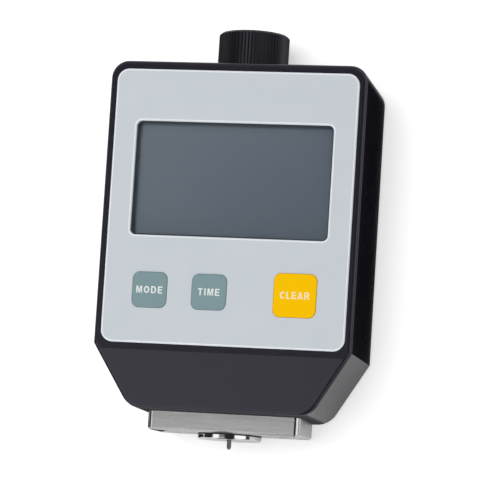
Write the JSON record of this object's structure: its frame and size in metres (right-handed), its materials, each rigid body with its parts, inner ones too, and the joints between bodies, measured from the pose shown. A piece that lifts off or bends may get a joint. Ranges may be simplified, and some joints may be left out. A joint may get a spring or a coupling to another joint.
{
  "type": "durometer",
  "caption": "Hand-held digital durometer: moulded case with a silver panel, display window and keys, a knurled knob on top and a steel pressor foot with a sprung indenter.",
  "frame": {"origin": "on the flat of the rear cover that it lies on, under the centre of the front panel", "axes": "+X across the display to the right, +Y along the plunger from the pressor foot to the knob, +Z out of the display"},
  "size_m": [0.0742, 0.1185, 0.0298],
  "materials": {
    "case_plastic": "fine satin moulding",
    "panel_silver": "satin silver-grey paint with a bevelled edge",
    "lens_clear": "clear, polished",
    "display_grey": "blank blue-grey liquid crystal display",
    "backlight_white": "white moulding",
    "strip_rubber": "matt",
    "board_green": "solder resist",
    "chip_black": "matt moulding",
    "key_grey": "satin teal-grey",
    "key_amber": "satin amber",
    "legend_white": "printed key legends",
    "guide_alloy": "machined",
    "bush_bronze": "machined",
    "rod_steel": "ground",
    "scale_glass": "clear",
    "foot_steel": "fine ground stainless",
    "disc_polished": "lapped and polished",
    "screw_steel": "plated",
    "knob_black": "black, fine straight knurl",
    "cell_steel": "plated can"
  },
  "bodies": {
    "case": {"front_case": "case_plastic", "rear_cover": "case_plastic", "case_screws": "screw_steel", "front_panel": "panel_silver", "display_lens": "lens_clear", "display_glass": "display_grey", "backlight": "backlight_white", "contact_strips": "strip_rubber", "circuit_board": "board_green", "board_chips": "chip_black", "board_screws": "screw_steel", "key_switches": "chip_black", "read_head": "chip_black", "guide_body": "guide_alloy", "lower_bush": "bush_bronze", "upper_bush": "bush_bronze", "main_spring": "rod_steel", "spring_nut": "bush_bronze", "foot_block": "foot_steel", "pressor_disc": "disc_polished", "foot_screws": "screw_steel", "knob_stud": "rod_steel", "battery_contacts": "bush_bronze"},
    "plunger": {"plunger_rod": "rod_steel", "indenter": "rod_steel", "scale_carrier": "guide_alloy", "scale_strip": "scale_glass"},
    "mode_key": {"mode_key": "key_grey"},
    "time_key": {"time_key": "key_grey"},
    "clear_key": {"clear_key": "key_amber"},
    "knob": {"knob": "knob_black"},
    "battery_cap": {"battery_cap": "case_plastic", "coin_cell": "cell_steel"}
  },
  "joints": [
    {"name": "plunger_slide", "type": "slide", "parent": "case", "child": "plunger", "axis": [0, 1, 0], "range_m": [0, 0.0025], "stiffness_N_per_m": 3000, "springref_m": -0.00018, "deforming": ["main_spring"]},
    {"name": "mode_key_press", "type": "slide", "parent": "case", "child": "mode_key", "axis": [0, 0, -1], "range_m": [0, 0.0004], "stiffness_N_per_m": 1500, "springref_m": -0.0002},
    {"name": "time_key_press", "type": "slide", "parent": "case", "child": "time_key", "axis": [0, 0, -1], "range_m": [0, 0.0004], "stiffness_N_per_m": 1500, "springref_m": -0.0002},
    {"name": "clear_key_press", "type": "slide", "parent": "case", "child": "clear_key", "axis": [0, 0, -1], "range_m": [0, 0.0004], "stiffness_N_per_m": 1500, "springref_m": -0.0002},
    {"name": "knob_turn", "type": "hinge", "parent": "case", "child": "knob", "pos_m": [0, 0.045, 0.0124], "axis": [0, 1, 0], "range_deg": [0, 360]},
    {"name": "battery_cap_turn", "type": "hinge", "parent": "case", "child": "battery_cap", "pos_m": [-0.02, 0.008, 0], "axis": [0, 0, 1], "range_deg": [0, 50]}
  ]
}
